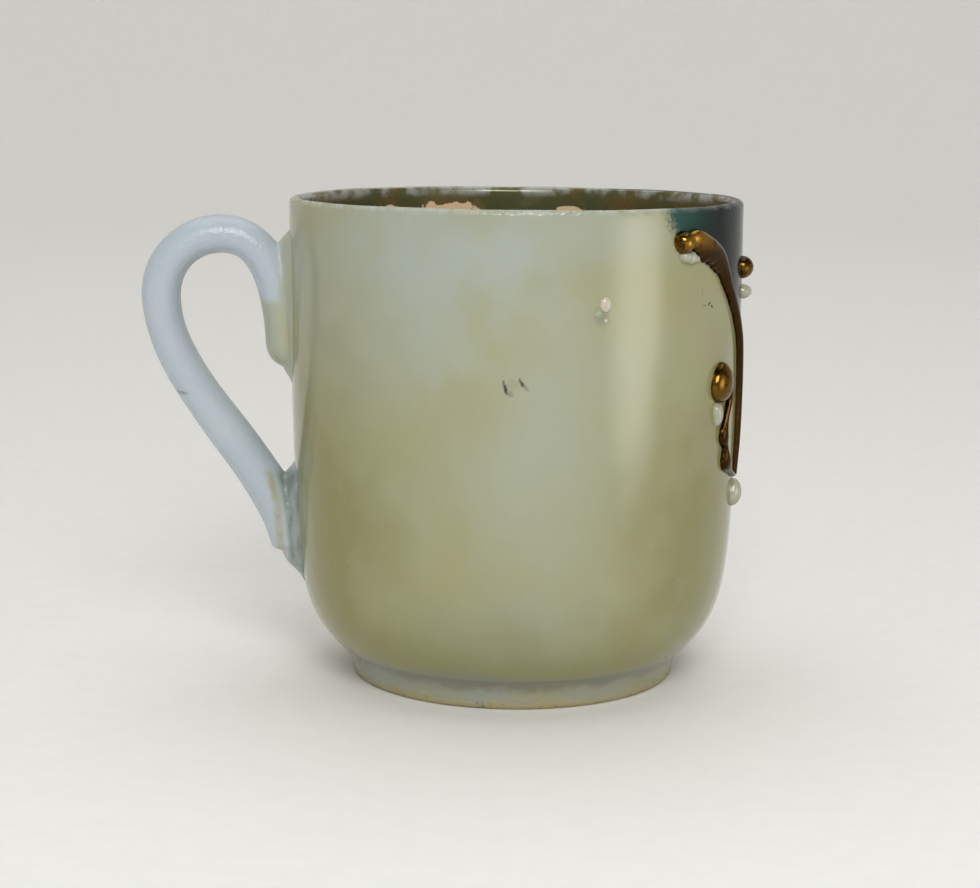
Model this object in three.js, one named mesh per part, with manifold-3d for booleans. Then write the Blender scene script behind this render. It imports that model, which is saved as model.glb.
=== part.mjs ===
// Demitasse of lustre-glazed porcelain: a straight-walled bowl on a foot ring, a loop handle stuck on
// with slip, and a front ornament of raised gilt strokes and enamel drops.
// Millimetres. +Z is up, the origin is on the cup's axis at the table, the handle points along -X and the
// ornament faces +X. Left is -Y, as seen by someone facing the ornament.

import * as THREE from 'three';
import { mergeVertices } from 'three/addons/utils/BufferGeometryUtils.js';
import Module from 'manifold-3d';

// Bowl
const CUP_HEIGHT = 58; // table to lip
const RIM_RADIUS = 27.1; // outside of the straight wall
const LIP_THICKNESS = 1.4; // wall at the rounded lip
const WALL_THICKNESS = 2.2; // wall lower down
const FLOOR_THICKNESS = 3; // base under the drink
const FLOOR_RADIUS = 14; // flat part of the floor inside
const STRAIGHT_WALL = 16; // height of the upright wall below the lip
const SHOULDER_PULL = 29.8; // length over which the shoulder leaves the upright wall
const SHOULDER_LEAN = 0.63; // how far the wall leans in over that length
const SHOULDER_RISE = 5.5; // height of the curve's pull at the base
const SHOULDER_FULLNESS = 0.94; // share of the overhang that the pull at the base reaches out to

// Foot ring
const FOOT_HEIGHT = 3.6;
const FOOT_RADIUS = 20.1; // outside, where it meets the bowl
const FOOT_WIDTH = 3.2; // ring's width where it meets the bowl
const FOOT_DRAFT = 0.4; // how far each side draws in towards the table
const FOOT_EDGE = 0.6; // rounding of the edges that stand on the table
const BASE_OVERHANG = 1.05; // bowl's base past the foot ring

// Handle, in the plane of the cup's axis. Reach is measured out from the wall, drop down from the lip.
const TONGUE_TIP_DROP = 20.4;
const CROWN_DROP = 4.5;
const CROWN_REACH = 8.2;
const KNUCKLE_DROP = 11.7;
const KNUCKLE_REACH = 15.3;
const LEG_DROP = 26.7;
const LEG_REACH = 8.4;
const HEEL_DROP = 41.8;
const TONGUE_THICKNESS = 4.5;
const TONGUE_WIDTH = 5.6;
const LOOP_THICKNESS = 4.5;
const LOOP_WIDTH = 5.2;
const HEEL_THICKNESS = 5.3;
const HEEL_WIDTH = 6;
const TONGUE_ROUND = 3; // length over which the tongue's tip rounds off
const HEEL_ROUND = 0.8; // the same at the blunt heel
const END_SINK = 0.5; // how far the handle's centre line ends inside its seat

// Pulls on the handle's centre line, as shares of the run from one of its points to the next
const TONGUE_RISE = 0.68; // up the wall, before it leaves for the crown
const CROWN_LEAD_IN = 0.32;
const CROWN_LEAD_OUT = 0.56;
const KNUCKLE_LEAD_IN = 0.44;
const KNUCKLE_LEAD_OUT = 0.29;
const LEG_LEAD = 0.2; // share of the line from knuckle to heel, before and after the leg's middle
const HEEL_LEAD_ACROSS = 0.78;
const HEEL_LEAD_DOWN = 0.73;

// Slip that holds the handle
const SEAT_GAP = 0.3; // clearance between a piece and the surface that it sits on
const LUTING_THICKNESS = 0.6;
const LUTING_SKIRT = 0.6; // slip squeezed out past the handle's edge
const SADDLE_THICKNESS = 1.4; // slip where the handle leaves the wall at the top
const WEDGE_THICKNESS = 2; // slip under the heel
const WEDGE_LENGTH = 3.4; // down the wall below the heel

// Front ornament, left half: across is measured round the wall from the front line, drop down from the lip
const UPPER_BUD_ACROSS = 24.9;
const UPPER_BUD_DROP = 3.7;
const UPPER_BUD_DIAMETER = 2.7;
const UPPER_BUD_HEIGHT = 1.4;
const UPPER_PEARL_DIAMETER = 1.5;
const UPPER_PEARL_HEIGHT = 0.9;
const SCROLL_FOOT_ACROSS = 8.2;
const SCROLL_SWEEP = 4.5; // how far the stroke runs level out of the bud
const SCROLL_FALL = 21.5; // how far it comes straight down on its foot
const SCROLL_WIDTH = 2.8;
const SCROLL_FOOT_WIDTH = 1;
const SCROLL_HEIGHT = 1.2;
const SCROLL_FOOT_HEIGHT = 0.8;
const SCROLL_TAPER = 0.38; // share of the stroke over which it narrows
const CROWN_BEAD_ACROSS = 6.4;
const CROWN_BEAD_DROP = 7.9;
const CROWN_BEAD_DIAMETER = 2.6;
const CROWN_BEAD_HEIGHT = 1.3;
const CROWN_GAP = 0.9; // between the bead and the pearl below it
const CROWN_PEARL_SHIFT = 1.3; // how far the pearl lies nearer the front line than the bead
const CROWN_PEARL_DIAMETER = 1.6;
const CROWN_PEARL_HEIGHT = 1.2;
const LOWER_BUD_ACROSS = 16.5;
const LOWER_BUD_DROP = 20.5;
const LOWER_BUD_WIDTH = 4.2;
const LOWER_BUD_LENGTH = 4.6;
const LOWER_BUD_HEIGHT = 1.4;
const LOWER_DROP_SHIFT = 0.7; // how far the drop hangs further from the front line than the bud
const LOWER_DROP_WIDTH = 1.5;
const LOWER_DROP_LENGTH = 2.6;
const LOWER_DROP_HEIGHT = 0.9;
const TENDRIL_WIDTH = 0.8;
const TENDRIL_HEIGHT = 0.7;
const TENDRIL_KNOB = 1.9; // width of the first swelling
const TENDRIL_LOBE = 2.3; // width of the second swelling
const TENDRIL_PITCH = 3.1; // from the knob to the lobe
const TENDRIL_TAIL = 2.6; // from the lobe down to the stroke's foot
const TENDRIL_SWELL = 0.07; // half length of a swelling, as a share of the line
const TENDRIL_TURN = 0.2; // share of the way across to the stroke's foot that the lobe has moved
const BASE_PEARL_WIDTH = 2.4;
const BASE_PEARL_LENGTH = 3.4;
const BASE_PEARL_HEIGHT = 1.2;
const ORNAMENT_GAP = 0.3; // between neighbouring drops and strokes
const SPILLED_DROP_ACROSS = 35.3;
const SPILLED_DROP_DROP = 10.3;
const SPILLED_DROP_DIAMETER = 1.5;
const SPILLED_DROP_HEIGHT = 0.55;

// Facets
const ROUND_SEGMENTS = 60;
const CURVE_STEPS = 8;
const EDGE_STEPS = 2;
const HANDLE_SIDES = 14;
const HANDLE_STEPS = 40;
const STROKE_STEPS = 22;
const DOME_SEGMENTS = 12;
const DOME_STEPS = 4;
const BLUNT = 0.1; // smallest share of its section that a rounded end keeps

// Finishes
function finish(color, roughness, metalness = 0) {
  return new THREE.MeshStandardMaterial({ color, roughness, metalness });
}

const PEARL_LUSTRE = finish('#b0b08c', 0.12);
const CLEAR_GLAZE = finish('#c3ccd2', 0.12);
const FOOT_GLAZE = finish('#a7aa98', 0.3);
const SLIP_GLAZE = finish('#a9b293', 0.15);
const GILDING = finish('#a8772c', 0.22, 1);
const ENAMEL = finish('#c9d0d2', 0.1);

const wasm = await Module();
wasm.setup();

// Solids for cutting: a closed mesh with shared corners, without the flat triangles that a revolve leaves
// on its axis
function toSolid(geometry) {
  const bare = geometry.clone();
  bare.deleteAttribute('normal');
  bare.deleteAttribute('uv');
  const merged = mergeVertices(bare);
  const corners = merged.index.array;
  const triangles = [];
  for (let i = 0; i < corners.length; i += 3) {
    const [a, b, c] = corners.slice(i, i + 3);
    if (a !== b && b !== c && c !== a) triangles.push(a, b, c);
  }
  const vertProperties = new Float32Array(merged.attributes.position.array);
  const triVerts = new Uint32Array(triangles);
  return new wasm.Manifold(new wasm.Mesh({ numProp: 3, vertProperties, triVerts }));
}

function fromSolid(solid) {
  const mesh = solid.getMesh();
  return closedGeometry(mesh.vertProperties, mesh.triVerts);
}

function closedGeometry(positions, triangles) {
  const geometry = new THREE.BufferGeometry();
  geometry.setAttribute('position', new THREE.Float32BufferAttribute(positions, 3));
  geometry.setIndex([...triangles]);
  geometry.computeVertexNormals();
  return geometry;
}

// A solid of revolution about Z from a profile of radius and height
function revolve(profile, segments) {
  return new THREE.LatheGeometry(profile, segments).rotateX(Math.PI / 2);
}

// A loft through rings of equally many points, closed at each end on a middle point
function loft(rings) {
  const sides = rings[0].length;
  const middle = (ring) => {
    const sum = ring.reduce((total, point) => total.add(point), new THREE.Vector3());
    return sum.divideScalar(sides);
  };
  const points = [...rings.flat(), middle(rings[0]), middle(rings.at(-1))];
  const first = points.length - 2;
  const last = points.length - 1;
  const end = (rings.length - 1) * sides;
  const triangles = [];
  for (let side = 0; side < sides; side++) {
    const next = (side + 1) % sides;
    triangles.push(first, next, side, last, end + side, end + next);
    for (let row = 0; row < end; row += sides) {
      const above = row + sides;
      triangles.push(row + side, row + next, above + next, row + side, above + next, above + side);
    }
  }
  return closedGeometry(points.flatMap((point) => point.toArray()), triangles);
}

// Heights above the table
const BASE_Z = FOOT_HEIGHT;
const FLOOR_Z = BASE_Z + FLOOR_THICKNESS;
const SHOULDER_Z = CUP_HEIGHT - STRAIGHT_WALL;
const LIP_RADIUS = LIP_THICKNESS / 2;
const LIP_Z = CUP_HEIGHT - LIP_RADIUS;
const BASE_RADIUS = FOOT_RADIUS + BASE_OVERHANG;

// The shoulder's outside, from the base's edge up to the straight wall
const shoulder = new THREE.CubicBezierCurve(
  new THREE.Vector2(BASE_RADIUS, BASE_Z),
  new THREE.Vector2(BASE_RADIUS + SHOULDER_FULLNESS * (RIM_RADIUS - BASE_RADIUS), BASE_Z + SHOULDER_RISE),
  new THREE.Vector2(RIM_RADIUS - SHOULDER_LEAN, SHOULDER_Z - SHOULDER_PULL),
  new THREE.Vector2(RIM_RADIUS, SHOULDER_Z),
);

// Outside radius of the wall at a height, found by halving along the shoulder
function wallRadius(z) {
  if (z >= SHOULDER_Z) return RIM_RADIUS;
  let low = 0;
  let high = 1;
  while (high - low > 1e-9) {
    const half = (low + high) / 2;
    if (shoulder.getPoint(half).y < z) low = half;
    else high = half;
  }
  return shoulder.getPoint(low).x;
}

function bowlGeometry() {
  const inside = RIM_RADIUS - WALL_THICKNESS;
  const { v1, v2 } = shoulder;
  const profile = new THREE.Path();
  profile.moveTo(0, BASE_Z);
  profile.lineTo(BASE_RADIUS, BASE_Z);
  profile.bezierCurveTo(v1.x, v1.y, v2.x, v2.y, RIM_RADIUS, SHOULDER_Z);
  profile.lineTo(RIM_RADIUS, LIP_Z);
  profile.absarc(RIM_RADIUS - LIP_RADIUS, LIP_Z, LIP_RADIUS, 0, Math.PI);
  profile.lineTo(inside, SHOULDER_Z);
  profile.bezierCurveTo(v2.x - WALL_THICKNESS, v2.y, v1.x - WALL_THICKNESS, FLOOR_Z, FLOOR_RADIUS, FLOOR_Z);
  profile.lineTo(0, FLOOR_Z);
  return revolve(profile.getPoints(CURVE_STEPS), ROUND_SEGMENTS);
}

function footGeometry() {
  const outer = FOOT_RADIUS - FOOT_DRAFT;
  const inner = FOOT_RADIUS - FOOT_WIDTH + FOOT_DRAFT;
  const profile = new THREE.Path();
  profile.moveTo(inner + FOOT_EDGE, 0);
  profile.lineTo(outer - FOOT_EDGE, 0);
  profile.quadraticCurveTo(outer, 0, outer, FOOT_EDGE);
  profile.lineTo(FOOT_RADIUS, FOOT_HEIGHT);
  profile.lineTo(FOOT_RADIUS - FOOT_WIDTH, FOOT_HEIGHT);
  profile.lineTo(inner, FOOT_EDGE);
  profile.quadraticCurveTo(inner, 0, inner + FOOT_EDGE, 0);
  return revolve(profile.getPoints(EDGE_STEPS), ROUND_SEGMENTS);
}

// Handle
const LUTING_DEPTH = SEAT_GAP + LUTING_THICKNESS + SEAT_GAP;

function seatPoint(drop) {
  const z = CUP_HEIGHT - drop;
  return new THREE.Vector3(END_SINK - LUTING_DEPTH - wallRadius(z), 0, z);
}

function reachPoint(reach, drop) {
  return new THREE.Vector3(-RIM_RADIUS - reach, 0, CUP_HEIGHT - drop);
}

// The centre line runs up the tongue, over the crown, round the knuckle and down the leg to the heel
function handlePath() {
  const tip = seatPoint(TONGUE_TIP_DROP);
  const crown = reachPoint(CROWN_REACH, CROWN_DROP);
  const knuckle = reachPoint(KNUCKLE_REACH, KNUCKLE_DROP);
  const leg = reachPoint(LEG_REACH, LEG_DROP);
  const heel = seatPoint(HEEL_DROP);
  const legRun = new THREE.Vector3().subVectors(heel, knuckle).multiplyScalar(LEG_LEAD);
  const between = (from, to, across, up) => new THREE.Vector3(
    THREE.MathUtils.lerp(from.x, to.x, across), 0, THREE.MathUtils.lerp(from.z, to.z, up));
  const path = new THREE.CurvePath();
  const addCurve = (...points) => path.add(new THREE.CubicBezierCurve3(...points));
  addCurve(tip, between(tip, crown, 0, TONGUE_RISE), between(tip, crown, CROWN_LEAD_IN, 1), crown);
  const crownLead = between(crown, knuckle, CROWN_LEAD_OUT, 0);
  addCurve(crown, crownLead, between(crown, knuckle, 1, KNUCKLE_LEAD_IN), knuckle);
  addCurve(knuckle, between(knuckle, leg, 0, KNUCKLE_LEAD_OUT), leg.clone().sub(legRun), leg);
  addCurve(leg, leg.clone().add(legRun), between(leg, heel, HEEL_LEAD_ACROSS, HEEL_LEAD_DOWN), heel);
  return path;
}

// Share of its section that a piece has at a distance from its end, which is rounded off over a length
function endRound(distance, length) {
  const short = 1 - THREE.MathUtils.clamp(distance / length, 0, 1);
  return Math.max(Math.sqrt(1 - short * short), BLUNT);
}

function blend3(start, middle, end, t) {
  return t < 0.5
    ? THREE.MathUtils.lerp(start, middle, THREE.MathUtils.smoothstep(t, 0, 0.5))
    : THREE.MathUtils.lerp(middle, end, THREE.MathUtils.smoothstep(t, 0.5, 1));
}

const handleCentre = handlePath();
const handleLength = handleCentre.getLength();

// Centre, in-plane normal and half sizes of the handle's section at a share of its length
function handleSection(t) {
  const tangent = handleCentre.getTangentAt(t);
  const round = endRound(t * handleLength, TONGUE_ROUND) * endRound((1 - t) * handleLength, HEEL_ROUND);
  return {
    centre: handleCentre.getPointAt(t),
    normal: new THREE.Vector3(tangent.z, 0, -tangent.x),
    halfThickness: round * blend3(TONGUE_THICKNESS, LOOP_THICKNESS, HEEL_THICKNESS, t) / 2,
    halfWidth: round * blend3(TONGUE_WIDTH, LOOP_WIDTH, HEEL_WIDTH, t) / 2,
  };
}

function handleLoft() {
  const rings = [];
  for (let step = 0; step <= HANDLE_STEPS; step++) {
    // Steps crowd together at both ends, where the handle rounds off
    const t = (1 - Math.cos((Math.PI * step) / HANDLE_STEPS)) / 2;
    const { centre, normal, halfThickness, halfWidth } = handleSection(t);
    const ring = [];
    for (let side = 0; side < HANDLE_SIDES; side++) {
      const angle = (2 * Math.PI * side) / HANDLE_SIDES;
      const point = centre.clone().addScaledVector(normal, halfThickness * Math.cos(angle));
      point.y += halfWidth * Math.sin(angle);
      ring.push(point);
    }
    rings.push(ring);
  }
  return loft(rings);
}

// The bowl's outside, grown by the depth of the slip, which cuts the handle's seats
function seatCutter() {
  const profile = [new THREE.Vector2(0, BASE_Z)];
  const rows = 4 * CURVE_STEPS;
  for (let row = 0; row <= rows; row++) {
    const z = THREE.MathUtils.lerp(BASE_Z, CUP_HEIGHT, row / rows);
    profile.push(new THREE.Vector2(wallRadius(z) + LUTING_DEPTH, z));
  }
  profile.push(new THREE.Vector2(0, CUP_HEIGHT));
  return revolve(profile, ROUND_SEGMENTS);
}

function handleGeometry() {
  return fromSolid(toSolid(handleLoft()).subtract(toSolid(seatCutter())));
}

// Wall coordinates: across is measured round the wall from the front line, positive to the left
const azimuth = (across) => -across / RIM_RADIUS;

function wallPoint(across, z, height) {
  const radius = wallRadius(z) + SEAT_GAP + height;
  return new THREE.Vector3(radius * Math.cos(azimuth(across)), radius * Math.sin(azimuth(across)), z);
}

// A raised stroke along a line on the wall: a domed section with its back against the wall
function stroke(line, halfWidth, height, steps) {
  const rings = [];
  for (let step = 0; step <= steps; step++) {
    const t = step / steps;
    const centre = line.getPoint(t);
    const tangent = line.getTangent(t);
    const ring = [];
    for (let side = 0; side < DOME_STEPS * 2; side++) {
      const angle = (Math.PI * side) / DOME_STEPS;
      const out = halfWidth(t) * Math.cos(angle);
      const rise = height(t) * Math.max(Math.sin(angle), 0);
      ring.push(wallPoint(centre.x + tangent.y * out, centre.y - tangent.x * out, rise));
    }
    rings.push(ring);
  }
  return loft(rings);
}

// A domed drop with a flat back, its axis along +X
function dome(width, length, height) {
  const profile = [new THREE.Vector2(0, 0)];
  for (let step = 0; step <= DOME_STEPS; step++) {
    const angle = (Math.PI / 2) * (step / DOME_STEPS);
    profile.push(new THREE.Vector2(Math.cos(angle), height * Math.sin(angle)));
  }
  profile[profile.length - 1].x = 0;
  const geometry = new THREE.LatheGeometry(profile, DOME_SEGMENTS).rotateZ(-Math.PI / 2);
  return geometry.scale(1, width / 2, length / 2);
}

// Slip pads behind the handle
const halfRound = Math.PI * RIM_RADIUS;

// Height at which the handle's upper edge meets its seat
function saddleHeight() {
  let t = 0;
  let z = CUP_HEIGHT;
  while (t < 0.5) {
    const { centre, normal, halfThickness } = handleSection(t);
    const edge = centre.clone().addScaledVector(normal, halfThickness);
    z = edge.z;
    if (-edge.x > wallRadius(z) + LUTING_DEPTH) break;
    t += 1 / (HANDLE_STEPS * CURVE_STEPS);
  }
  return z;
}

function upperLutingGeometry() {
  const top = Math.min(saddleHeight() + LUTING_SKIRT, LIP_Z - SEAT_GAP);
  const bottom = CUP_HEIGHT - TONGUE_TIP_DROP - LUTING_SKIRT;
  const line = new THREE.LineCurve(new THREE.Vector2(halfRound, top), new THREE.Vector2(halfRound, bottom));
  const length = top - bottom;
  const swell = (t) => endRound(t * length, TONGUE_WIDTH / 2) * endRound((1 - t) * length, TONGUE_ROUND);
  const halfWidth = (t) => swell(t) * (TONGUE_WIDTH / 2 + LUTING_SKIRT);
  const saddle = (t) => 1 - THREE.MathUtils.smoothstep(t * length, LUTING_SKIRT / 2, LUTING_SKIRT);
  const height = (t) => swell(t) * THREE.MathUtils.lerp(LUTING_THICKNESS, SADDLE_THICKNESS, saddle(t));
  return stroke(line, halfWidth, height, STROKE_STEPS);
}

function lowerLutingGeometry() {
  const { centre, normal, halfThickness } = handleSection(1 - HEEL_ROUND / handleLength);
  const heelLow = centre.z - Math.abs(normal.z) * halfThickness;
  const wedgeTop = heelLow - HEEL_ROUND - SEAT_GAP;
  const top = CUP_HEIGHT - HEEL_DROP + 2 * HEEL_THICKNESS * Math.abs(normal.x);
  const bottom = wedgeTop - WEDGE_LENGTH;
  const line = new THREE.LineCurve(new THREE.Vector2(halfRound, top), new THREE.Vector2(halfRound, bottom));
  const length = top - bottom;
  const height = (t) => {
    const z = THREE.MathUtils.lerp(top, bottom, t);
    const wedge = THREE.MathUtils.smoothstep(-z, -wedgeTop - SEAT_GAP, -wedgeTop + SEAT_GAP);
    const toe = Math.max((z - bottom) / WEDGE_LENGTH, BLUNT);
    return z > wedgeTop + SEAT_GAP
      ? LUTING_THICKNESS
      : Math.min(THREE.MathUtils.lerp(LUTING_THICKNESS, WEDGE_THICKNESS, wedge), WEDGE_THICKNESS * toe);
  };
  const full = HEEL_WIDTH / 2 + LUTING_SKIRT;
  const halfWidth = (t) => full * endRound(t * length, full) * endRound((1 - t) * length, WEDGE_LENGTH);
  return stroke(line, halfWidth, height, STROKE_STEPS + DOME_SEGMENTS);
}

// Ornament, left half. Each piece takes its place from the one that it hangs from.
const upperBudZ = CUP_HEIGHT - UPPER_BUD_DROP;
const upperPearlZ = upperBudZ - (UPPER_BUD_DIAMETER + UPPER_PEARL_DIAMETER) / 2 - ORNAMENT_GAP;
const crownBeadZ = CUP_HEIGHT - CROWN_BEAD_DROP;
const crownPearlZ = crownBeadZ - (CROWN_BEAD_DIAMETER + CROWN_PEARL_DIAMETER) / 2 - CROWN_GAP;
const lowerBudZ = CUP_HEIGHT - LOWER_BUD_DROP;
const lowerDropZ = lowerBudZ - (LOWER_BUD_LENGTH + LOWER_DROP_LENGTH) / 2 - ORNAMENT_GAP;
const knobZ = lowerDropZ - (LOWER_DROP_LENGTH + TENDRIL_KNOB) / 2 - ORNAMENT_GAP;
const lobeZ = knobZ - TENDRIL_PITCH;
const scrollFootZ = lobeZ - TENDRIL_TAIL;
const basePearlZ = scrollFootZ - BASE_PEARL_LENGTH / 2 - ORNAMENT_GAP;

function scrollGeometry() {
  const start = new THREE.Vector2(UPPER_BUD_ACROSS - UPPER_BUD_DIAMETER / 2 - ORNAMENT_GAP, upperBudZ);
  const foot = new THREE.Vector2(SCROLL_FOOT_ACROSS, scrollFootZ);
  const line = new THREE.CubicBezierCurve(
    start,
    new THREE.Vector2(start.x - SCROLL_SWEEP, start.y - SCROLL_WIDTH / 2),
    new THREE.Vector2(foot.x, foot.y + SCROLL_FALL),
    foot,
  );
  const length = line.getLength();
  const ends = (t) => endRound(t * length, SCROLL_WIDTH) * endRound((1 - t) * length, SCROLL_FOOT_WIDTH);
  const taper = (t) => THREE.MathUtils.smoothstep(t, 0, SCROLL_TAPER);
  const halfWidth = (t) => ends(t) * THREE.MathUtils.lerp(SCROLL_WIDTH, SCROLL_FOOT_WIDTH, taper(t)) / 2;
  const height = (t) => ends(t) * THREE.MathUtils.lerp(SCROLL_HEIGHT, SCROLL_FOOT_HEIGHT, t);
  return stroke(line, halfWidth, height, STROKE_STEPS);
}

// The tendril leaves the bud's right side, passes the hanging drop, swells twice and runs out beside the
// stroke's foot
function tendrilGeometry() {
  const beside = LOWER_BUD_ACROSS - LOWER_BUD_WIDTH / 2 - ORNAMENT_GAP - TENDRIL_WIDTH / 2;
  const under = LOWER_BUD_ACROSS - LOWER_DROP_WIDTH / 2 - ORNAMENT_GAP - TENDRIL_WIDTH / 2;
  const end = SCROLL_FOOT_ACROSS + SCROLL_FOOT_WIDTH / 2 + ORNAMENT_GAP + TENDRIL_WIDTH / 2;
  const knob = new THREE.Vector2(under, knobZ);
  const lobe = new THREE.Vector2(THREE.MathUtils.lerp(under, end, TENDRIL_TURN), lobeZ);
  const points = [
    new THREE.Vector2(beside, lowerBudZ - LOWER_BUD_LENGTH / 4),
    new THREE.Vector2((beside + under) / 2, lowerDropZ + LOWER_DROP_LENGTH / 4),
    knob,
    lobe,
    new THREE.Vector2(end, scrollFootZ),
  ];
  const line = new THREE.SplineCurve(points);
  const length = line.getLength();
  const swelling = (t, point, width) => {
    const away = t - points.indexOf(point) / (points.length - 1);
    return (width - TENDRIL_WIDTH) * Math.exp(-((away / TENDRIL_SWELL) ** 2));
  };
  const halfWidth = (t) => {
    const ends = endRound(t * length, TENDRIL_WIDTH) * endRound((1 - t) * length, TENDRIL_WIDTH);
    return ends * (TENDRIL_WIDTH + swelling(t, knob, TENDRIL_KNOB) + swelling(t, lobe, TENDRIL_LOBE)) / 2;
  };
  const height = (t) => TENDRIL_HEIGHT * Math.min(1, halfWidth(t) / (TENDRIL_WIDTH / 2));
  return stroke(line, halfWidth, height, STROKE_STEPS + DOME_SEGMENTS);
}

const cup = new THREE.Group();

function addMesh(name, geometry, material) {
  const mesh = new THREE.Mesh(geometry, material);
  mesh.name = name;
  cup.add(mesh);
  return mesh;
}

// Turns a geometry built on the left into its mirror image on the right, with its faces still pointing out
function mirrored(geometry) {
  const copy = geometry.clone().scale(1, -1, 1);
  const corners = copy.index.array;
  for (let i = 0; i < corners.length; i += 3) {
    [corners[i], corners[i + 1]] = [corners[i + 1], corners[i]];
  }
  return copy;
}

function addStrokePair(name, geometry) {
  addMesh(`${name}_left`, geometry, GILDING);
  addMesh(`${name}_right`, mirrored(geometry), GILDING);
}

function addDrop(name, across, z, width, length, height, material) {
  const drop = addMesh(name, dome(width, length, height), material);
  drop.position.copy(wallPoint(across, z, 0));
  drop.rotation.z = azimuth(across);
}

function addDropPair(name, across, ...rest) {
  addDrop(`${name}_left`, across, ...rest);
  addDrop(`${name}_right`, -across, ...rest);
}

addMesh('cup_bowl', bowlGeometry(), PEARL_LUSTRE);
addMesh('foot_ring', footGeometry(), FOOT_GLAZE);
addMesh('handle', handleGeometry(), CLEAR_GLAZE);
addMesh('upper_luting', upperLutingGeometry(), SLIP_GLAZE);
addMesh('lower_luting', lowerLutingGeometry(), SLIP_GLAZE);
addStrokePair('upper_scroll', scrollGeometry());
addStrokePair('tendril', tendrilGeometry());
addDropPair('upper_bud', UPPER_BUD_ACROSS, upperBudZ,
  UPPER_BUD_DIAMETER, UPPER_BUD_DIAMETER, UPPER_BUD_HEIGHT, GILDING);
addDropPair('upper_pearl', UPPER_BUD_ACROSS, upperPearlZ,
  UPPER_PEARL_DIAMETER, UPPER_PEARL_DIAMETER, UPPER_PEARL_HEIGHT, ENAMEL);
addDropPair('crown_bead', CROWN_BEAD_ACROSS, crownBeadZ,
  CROWN_BEAD_DIAMETER, CROWN_BEAD_DIAMETER, CROWN_BEAD_HEIGHT, GILDING);
addDropPair('crown_pearl', CROWN_BEAD_ACROSS - CROWN_PEARL_SHIFT, crownPearlZ,
  CROWN_PEARL_DIAMETER, CROWN_PEARL_DIAMETER, CROWN_PEARL_HEIGHT, ENAMEL);
addDropPair('lower_bud', LOWER_BUD_ACROSS, lowerBudZ,
  LOWER_BUD_WIDTH, LOWER_BUD_LENGTH, LOWER_BUD_HEIGHT, GILDING);
addDropPair('lower_drop', LOWER_BUD_ACROSS + LOWER_DROP_SHIFT, lowerDropZ,
  LOWER_DROP_WIDTH, LOWER_DROP_LENGTH, LOWER_DROP_HEIGHT, ENAMEL);
addDropPair('base_pearl', SCROLL_FOOT_ACROSS, basePearlZ,
  BASE_PEARL_WIDTH, BASE_PEARL_LENGTH, BASE_PEARL_HEIGHT, ENAMEL);
addDrop('spilled_drop', SPILLED_DROP_ACROSS, CUP_HEIGHT - SPILLED_DROP_DROP,
  SPILLED_DROP_DIAMETER, SPILLED_DROP_DIAMETER, SPILLED_DROP_HEIGHT, ENAMEL);

export default cup;
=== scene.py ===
"""Looks of a lustre-glazed porcelain demitasse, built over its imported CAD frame.

Blender's own values are in metres. The shape functions work in millimetres, in the same frame: +Z is up, the
handle points along -X, the front ornament faces +X. On the wall, a place is given as across and height:
across is measured round the wall from the front line, positive towards -Y.
"""

import math
from functools import partial

import bpy
import numpy as np
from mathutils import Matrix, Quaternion, Vector


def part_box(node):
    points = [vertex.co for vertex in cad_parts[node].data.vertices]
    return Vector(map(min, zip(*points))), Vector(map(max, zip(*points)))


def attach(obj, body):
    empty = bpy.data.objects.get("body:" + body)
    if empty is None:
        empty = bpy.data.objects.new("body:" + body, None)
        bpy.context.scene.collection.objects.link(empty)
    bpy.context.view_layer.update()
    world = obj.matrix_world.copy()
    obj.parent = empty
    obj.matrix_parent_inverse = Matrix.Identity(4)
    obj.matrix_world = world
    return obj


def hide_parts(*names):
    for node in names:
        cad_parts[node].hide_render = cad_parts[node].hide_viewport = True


bl_info = {
    "name": "Lustre Demitasse",
    "version": (1, 0, 0),
    "blender": (4, 5, 0),
    "location": "3D View > Sidebar > Demitasse",
    "description": "Builds a lustre-glazed porcelain demitasse over its CAD frame",
    "category": "Add Mesh",
}

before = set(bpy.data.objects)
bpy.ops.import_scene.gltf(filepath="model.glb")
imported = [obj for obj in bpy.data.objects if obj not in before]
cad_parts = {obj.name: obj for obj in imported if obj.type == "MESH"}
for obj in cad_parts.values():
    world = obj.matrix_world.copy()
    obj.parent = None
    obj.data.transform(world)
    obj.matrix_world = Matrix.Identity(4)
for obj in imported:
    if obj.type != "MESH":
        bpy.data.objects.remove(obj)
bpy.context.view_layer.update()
MM = 0.001
BODY = "root"
SEGMENTS = 288  # round the cup


def linear(code):
    """Turns an sRGB hex code into a linear colour with full alpha."""
    shares = [int(code[start:start + 2], 16) / 255 for start in (1, 3, 5)]
    return [*(share / 12.92 if share <= 0.04045 else ((share + 0.055) / 1.055) ** 2.4 for share in shares), 1]


def length(name, description, metres):
    """A setting for a length."""
    return bpy.props.FloatProperty(name=name, description=description, default=metres, unit="LENGTH")


def power(name, description, watts):
    """A setting for a lamp's power."""
    return bpy.props.FloatProperty(name=name, description=description, default=watts, unit="POWER")


def finish(name, description, code):
    """A setting for a colour."""
    return bpy.props.FloatVectorProperty(
        name=name, description=description, default=linear(code), size=4, subtype="COLOR")


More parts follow.
